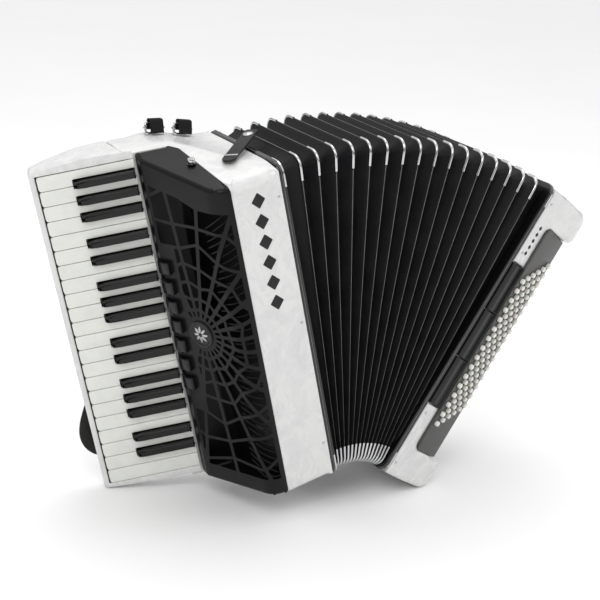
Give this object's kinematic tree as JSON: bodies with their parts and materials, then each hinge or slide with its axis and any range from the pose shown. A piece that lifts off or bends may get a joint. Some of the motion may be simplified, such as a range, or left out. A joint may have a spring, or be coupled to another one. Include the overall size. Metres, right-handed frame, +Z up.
{
  "type": "piano accordion",
  "caption": "Piano accordion stood open with its bellows fanned: keyboard, slotted grille, register rockers, pleated bellows and a bass case with buttons and hand strap.",
  "frame": {"origin": "on the floor under the middle of the whole object's box", "axes": "+X across the bellows towards the bass case, +Y from the grille side to the player's side, +Z up from the floor that the open fan stands on"},
  "size_m": [0.7456, 0.1968, 0.4946],
  "materials": {
    "pearl_celluloid": "pearl",
    "black_satin": "satin",
    "chrome": "polished",
    "steel": "turned",
    "wood": "waxed",
    "black_plastic": "satin",
    "black_lacquer": "gloss",
    "bellows_cloth": "woven",
    "grey_plate": "satin",
    "ivory_plastic": "polished",
    "black_key": "polished",
    "leather": "grained"
  },
  "bodies": {
    "treble": {"treble_case": "pearl_celluloid", "keyboard_frame": "pearl_celluloid", "treble_grille": "black_satin", "grille_screws": "chrome", "key_axle": "steel", "treble_reed_blocks": "wood", "bellows_treble_frame": "black_lacquer", "bellows_folds": "bellows_cloth", "bellows_corners": "chrome", "strap_brackets": "chrome", "leather_straps": "leather"},
    "bass": {"bellows_bass_frame": "black_lacquer", "bass_case": "pearl_celluloid", "bass_button_plate": "grey_plate", "bass_reed_blocks": "wood", "bass_hand_strap": "leather"},
    "treble_registers": {"treble_registers": "black_plastic"},
    "bass_buttons": {"bass_buttons": "ivory_plastic"},
    "bass_register_upper": {"bass_register_upper": "black_plastic"},
    "bass_register_middle": {"bass_register_middle": "black_plastic"},
    "bass_register_lower": {"bass_register_lower": "black_plastic"},
    "strap_wheel": {"strap_wheel": "chrome"},
    "air_button": {"air_button": "chrome"},
    "key_f3": {"key_f3": "ivory_plastic"},
    "key_fs3": {"key_fs3": "black_key"},
    "key_g3": {"key_g3": "ivory_plastic"},
    "key_gs3": {"key_gs3": "black_key"},
    "key_a3": {"key_a3": "ivory_plastic"},
    "key_as3": {"key_as3": "black_key"},
    "key_b3": {"key_b3": "ivory_plastic"},
    "key_c4": {"key_c4": "ivory_plastic"},
    "key_cs4": {"key_cs4": "black_key"},
    "key_d4": {"key_d4": "ivory_plastic"},
    "key_ds4": {"key_ds4": "black_key"},
    "key_e4": {"key_e4": "ivory_plastic"},
    "key_f4": {"key_f4": "ivory_plastic"},
    "key_fs4": {"key_fs4": "black_key"},
    "key_g4": {"key_g4": "ivory_plastic"},
    "key_gs4": {"key_gs4": "black_key"},
    "key_a4": {"key_a4": "ivory_plastic"},
    "key_as4": {"key_as4": "black_key"},
    "key_b4": {"key_b4": "ivory_plastic"},
    "key_c5": {"key_c5": "ivory_plastic"},
    "key_cs5": {"key_cs5": "black_key"},
    "key_d5": {"key_d5": "ivory_plastic"},
    "key_ds5": {"key_ds5": "black_key"},
    "key_e5": {"key_e5": "ivory_plastic"},
    "key_f5": {"key_f5": "ivory_plastic"},
    "key_fs5": {"key_fs5": "black_key"},
    "key_g5": {"key_g5": "ivory_plastic"},
    "key_gs5": {"key_gs5": "black_key"},
    "key_a5": {"key_a5": "ivory_plastic"},
    "key_as5": {"key_as5": "black_key"},
    "key_b5": {"key_b5": "ivory_plastic"},
    "key_c6": {"key_c6": "ivory_plastic"},
    "key_cs6": {"key_cs6": "black_key"},
    "key_d6": {"key_d6": "ivory_plastic"},
    "key_ds6": {"key_ds6": "black_key"},
    "key_e6": {"key_e6": "ivory_plastic"},
    "key_f6": {"key_f6": "ivory_plastic"}
  },
  "joints": [
    {"name": "bellows_fan", "type": "hinge", "parent": "treble", "child": "bass", "pos_m": [0.03419, 0, 0.06304], "axis": [0, 1, 0], "range_deg": [-47.25, 5], "deforming": ["bellows_folds", "bellows_corners"]},
    {"name": "key_f3_press", "type": "hinge", "parent": "treble", "child": "key_f3", "pos_m": [-0.21483, 0.01695, 0.45925], "axis": [0.2646, 0, -0.9643], "range_deg": [0, 1.4], "stiffness_Nm_per_rad": 0.4, "springref_deg": -14.32},
    {"name": "key_fs3_press", "type": "hinge", "parent": "treble", "child": "key_fs3", "pos_m": [-0.21221, 0.01695, 0.4497], "axis": [0.2646, 0, -0.9643], "range_deg": [0, 1.4], "stiffness_Nm_per_rad": 0.4, "springref_deg": -14.32},
    {"name": "key_g3_press", "type": "hinge", "parent": "treble", "child": "key_g3", "pos_m": [-0.20959, 0.01695, 0.44016], "axis": [0.2646, 0, -0.9643], "range_deg": [0, 1.4], "stiffness_Nm_per_rad": 0.4, "springref_deg": -14.32},
    {"name": "key_gs3_press", "type": "hinge", "parent": "treble", "child": "key_gs3", "pos_m": [-0.20697, 0.01695, 0.43061], "axis": [0.2646, 0, -0.9643], "range_deg": [0, 1.4], "stiffness_Nm_per_rad": 0.4, "springref_deg": -14.32},
    {"name": "key_a3_press", "type": "hinge", "parent": "treble", "child": "key_a3", "pos_m": [-0.20435, 0.01695, 0.42106], "axis": [0.2646, 0, -0.9643], "range_deg": [0, 1.4], "stiffness_Nm_per_rad": 0.4, "springref_deg": -14.32},
    {"name": "key_as3_press", "type": "hinge", "parent": "treble", "child": "key_as3", "pos_m": [-0.20173, 0.01695, 0.41152], "axis": [0.2646, 0, -0.9643], "range_deg": [0, 1.4], "stiffness_Nm_per_rad": 0.4, "springref_deg": -14.32},
    {"name": "key_b3_press", "type": "hinge", "parent": "treble", "child": "key_b3", "pos_m": [-0.19911, 0.01695, 0.40197], "axis": [0.2646, 0, -0.9643], "range_deg": [0, 1.4], "stiffness_Nm_per_rad": 0.4, "springref_deg": -14.32},
    {"name": "key_c4_press", "type": "hinge", "parent": "treble", "child": "key_c4", "pos_m": [-0.19387, 0.01695, 0.38287], "axis": [0.2646, 0, -0.9643], "range_deg": [0, 1.4], "stiffness_Nm_per_rad": 0.4, "springref_deg": -14.32},
    {"name": "key_cs4_press", "type": "hinge", "parent": "treble", "child": "key_cs4", "pos_m": [-0.19125, 0.01695, 0.37333], "axis": [0.2646, 0, -0.9643], "range_deg": [0, 1.4], "stiffness_Nm_per_rad": 0.4, "springref_deg": -14.32},
    {"name": "key_d4_press", "type": "hinge", "parent": "treble", "child": "key_d4", "pos_m": [-0.18863, 0.01695, 0.36378], "axis": [0.2646, 0, -0.9643], "range_deg": [0, 1.4], "stiffness_Nm_per_rad": 0.4, "springref_deg": -14.32},
    {"name": "key_ds4_press", "type": "hinge", "parent": "treble", "child": "key_ds4", "pos_m": [-0.18601, 0.01695, 0.35423], "axis": [0.2646, 0, -0.9643], "range_deg": [0, 1.4], "stiffness_Nm_per_rad": 0.4, "springref_deg": -14.32},
    {"name": "key_e4_press", "type": "hinge", "parent": "treble", "child": "key_e4", "pos_m": [-0.18339, 0.01695, 0.34469], "axis": [0.2646, 0, -0.9643], "range_deg": [0, 1.4], "stiffness_Nm_per_rad": 0.4, "springref_deg": -14.32},
    {"name": "key_f4_press", "type": "hinge", "parent": "treble", "child": "key_f4", "pos_m": [-0.17815, 0.01695, 0.32559], "axis": [0.2646, 0, -0.9643], "range_deg": [0, 1.4], "stiffness_Nm_per_rad": 0.4, "springref_deg": -14.32},
    {"name": "key_fs4_press", "type": "hinge", "parent": "treble", "child": "key_fs4", "pos_m": [-0.17553, 0.01695, 0.31605], "axis": [0.2646, 0, -0.9643], "range_deg": [0, 1.4], "stiffness_Nm_per_rad": 0.4, "springref_deg": -14.32},
    {"name": "key_g4_press", "type": "hinge", "parent": "treble", "child": "key_g4", "pos_m": [-0.17291, 0.01695, 0.3065], "axis": [0.2646, 0, -0.9643], "range_deg": [0, 1.4], "stiffness_Nm_per_rad": 0.4, "springref_deg": -14.32},
    {"name": "key_gs4_press", "type": "hinge", "parent": "treble", "child": "key_gs4", "pos_m": [-0.17029, 0.01695, 0.29695], "axis": [0.2646, 0, -0.9643], "range_deg": [0, 1.4], "stiffness_Nm_per_rad": 0.4, "springref_deg": -14.32},
    {"name": "key_a4_press", "type": "hinge", "parent": "treble", "child": "key_a4", "pos_m": [-0.16767, 0.01695, 0.2874], "axis": [0.2646, 0, -0.9643], "range_deg": [0, 1.4], "stiffness_Nm_per_rad": 0.4, "springref_deg": -14.32},
    {"name": "key_as4_press", "type": "hinge", "parent": "treble", "child": "key_as4", "pos_m": [-0.16505, 0.01695, 0.27786], "axis": [0.2646, 0, -0.9643], "range_deg": [0, 1.4], "stiffness_Nm_per_rad": 0.4, "springref_deg": -14.32},
    {"name": "key_b4_press", "type": "hinge", "parent": "treble", "child": "key_b4", "pos_m": [-0.16243, 0.01695, 0.26831], "axis": [0.2646, 0, -0.9643], "range_deg": [0, 1.4], "stiffness_Nm_per_rad": 0.4, "springref_deg": -14.32},
    {"name": "key_c5_press", "type": "hinge", "parent": "treble", "child": "key_c5", "pos_m": [-0.15719, 0.01695, 0.24922], "axis": [0.2646, 0, -0.9643], "range_deg": [0, 1.4], "stiffness_Nm_per_rad": 0.4, "springref_deg": -14.32},
    {"name": "key_cs5_press", "type": "hinge", "parent": "treble", "child": "key_cs5", "pos_m": [-0.15457, 0.01695, 0.23967], "axis": [0.2646, 0, -0.9643], "range_deg": [0, 1.4], "stiffness_Nm_per_rad": 0.4, "springref_deg": -14.32},
    {"name": "key_d5_press", "type": "hinge", "parent": "treble", "child": "key_d5", "pos_m": [-0.15195, 0.01695, 0.23012], "axis": [0.2646, 0, -0.9643], "range_deg": [0, 1.4], "stiffness_Nm_per_rad": 0.4, "springref_deg": -14.32},
    {"name": "key_ds5_press", "type": "hinge", "parent": "treble", "child": "key_ds5", "pos_m": [-0.14933, 0.01695, 0.22057], "axis": [0.2646, 0, -0.9643], "range_deg": [0, 1.4], "stiffness_Nm_per_rad": 0.4, "springref_deg": -14.32},
    {"name": "key_e5_press", "type": "hinge", "parent": "treble", "child": "key_e5", "pos_m": [-0.14671, 0.01695, 0.21103], "axis": [0.2646, 0, -0.9643], "range_deg": [0, 1.4], "stiffness_Nm_per_rad": 0.4, "springref_deg": -14.32},
    {"name": "key_f5_press", "type": "hinge", "parent": "treble", "child": "key_f5", "pos_m": [-0.14147, 0.01695, 0.19193], "axis": [0.2646, 0, -0.9643], "range_deg": [0, 1.4], "stiffness_Nm_per_rad": 0.4, "springref_deg": -14.32},
    {"name": "key_fs5_press", "type": "hinge", "parent": "treble", "child": "key_fs5", "pos_m": [-0.13885, 0.01695, 0.18239], "axis": [0.2646, 0, -0.9643], "range_deg": [0, 1.4], "stiffness_Nm_per_rad": 0.4, "springref_deg": -14.32},
    {"name": "key_g5_press", "type": "hinge", "parent": "treble", "child": "key_g5", "pos_m": [-0.13623, 0.01695, 0.17284], "axis": [0.2646, 0, -0.9643], "range_deg": [0, 1.4], "stiffness_Nm_per_rad": 0.4, "springref_deg": -14.32},
    {"name": "key_gs5_press", "type": "hinge", "parent": "treble", "child": "key_gs5", "pos_m": [-0.13361, 0.01695, 0.16329], "axis": [0.2646, 0, -0.9643], "range_deg": [0, 1.4], "stiffness_Nm_per_rad": 0.4, "springref_deg": -14.32},
    {"name": "key_a5_press", "type": "hinge", "parent": "treble", "child": "key_a5", "pos_m": [-0.13099, 0.01695, 0.15374], "axis": [0.2646, 0, -0.9643], "range_deg": [0, 1.4], "stiffness_Nm_per_rad": 0.4, "springref_deg": -14.32},
    {"name": "key_as5_press", "type": "hinge", "parent": "treble", "child": "key_as5", "pos_m": [-0.12837, 0.01695, 0.1442], "axis": [0.2646, 0, -0.9643], "range_deg": [0, 1.4], "stiffness_Nm_per_rad": 0.4, "springref_deg": -14.32},
    {"name": "key_b5_press", "type": "hinge", "parent": "treble", "child": "key_b5", "pos_m": [-0.12575, 0.01695, 0.13465], "axis": [0.2646, 0, -0.9643], "range_deg": [0, 1.4], "stiffness_Nm_per_rad": 0.4, "springref_deg": -14.32},
    {"name": "key_c6_press", "type": "hinge", "parent": "treble", "child": "key_c6", "pos_m": [-0.12051, 0.01695, 0.11556], "axis": [0.2646, 0, -0.9643], "range_deg": [0, 1.4], "stiffness_Nm_per_rad": 0.4, "springref_deg": -14.32},
    {"name": "key_cs6_press", "type": "hinge", "parent": "treble", "child": "key_cs6", "pos_m": [-0.11789, 0.01695, 0.10601], "axis": [0.2646, 0, -0.9643], "range_deg": [0, 1.4], "stiffness_Nm_per_rad": 0.4, "springref_deg": -14.32},
    {"name": "key_d6_press", "type": "hinge", "parent": "treble", "child": "key_d6", "pos_m": [-0.11527, 0.01695, 0.09646], "axis": [0.2646, 0, -0.9643], "range_deg": [0, 1.4], "stiffness_Nm_per_rad": 0.4, "springref_deg": -14.32},
    {"name": "key_ds6_press", "type": "hinge", "parent": "treble", "child": "key_ds6", "pos_m": [-0.11265, 0.01695, 0.08692], "axis": [0.2646, 0, -0.9643], "range_deg": [0, 1.4], "stiffness_Nm_per_rad": 0.4, "springref_deg": -14.32},
    {"name": "key_e6_press", "type": "hinge", "parent": "treble", "child": "key_e6", "pos_m": [-0.11003, 0.01695, 0.07737], "axis": [0.2646, 0, -0.9643], "range_deg": [0, 1.4], "stiffness_Nm_per_rad": 0.4, "springref_deg": -14.32},
    {"name": "key_f6_press", "type": "hinge", "parent": "treble", "child": "key_f6", "pos_m": [-0.10479, 0.01695, 0.05828], "axis": [0.2646, 0, -0.9643], "range_deg": [0, 1.4], "stiffness_Nm_per_rad": 0.4, "springref_deg": -14.32},
    {"name": "treble_register_rock", "type": "hinge", "parent": "treble", "child": "treble_registers", "pos_m": [-0.17383, 0.007, 0.16708], "axis": [-0.2646, 0, 0.9643], "range_deg": [-3, 3]},
    {"name": "bass_button_press", "type": "slide", "parent": "bass", "child": "bass_buttons", "axis": [-0.4309, 0.8616, 0.2682], "range_m": [0, 0.003], "stiffness_N_per_m": 600, "springref_m": -0.006},
    {"name": "bass_register_upper_press", "type": "slide", "parent": "bass", "child": "bass_register_upper", "axis": [0, 1, 0], "range_m": [0, 0.0025], "stiffness_N_per_m": 300, "springref_m": -0.003},
    {"name": "bass_register_middle_press", "type": "slide", "parent": "bass", "child": "bass_register_middle", "axis": [0, 1, 0], "range_m": [0, 0.0025], "stiffness_N_per_m": 300, "springref_m": -0.003},
    {"name": "bass_register_lower_press", "type": "slide", "parent": "bass", "child": "bass_register_lower", "axis": [0, 1, 0], "range_m": [0, 0.0025], "stiffness_N_per_m": 300, "springref_m": -0.003},
    {"name": "strap_wheel_turn", "type": "hinge", "parent": "bass", "child": "strap_wheel", "pos_m": [0.35434, 0.014, 0.37659], "axis": [0.5285, 0, 0.8489], "continuous": true},
    {"name": "air_button_press", "type": "slide", "parent": "bass", "child": "air_button", "axis": [-0.8489, 0, 0.5285], "range_m": [0, 0.004], "stiffness_N_per_m": 300, "springref_m": -0.004}
  ]
}
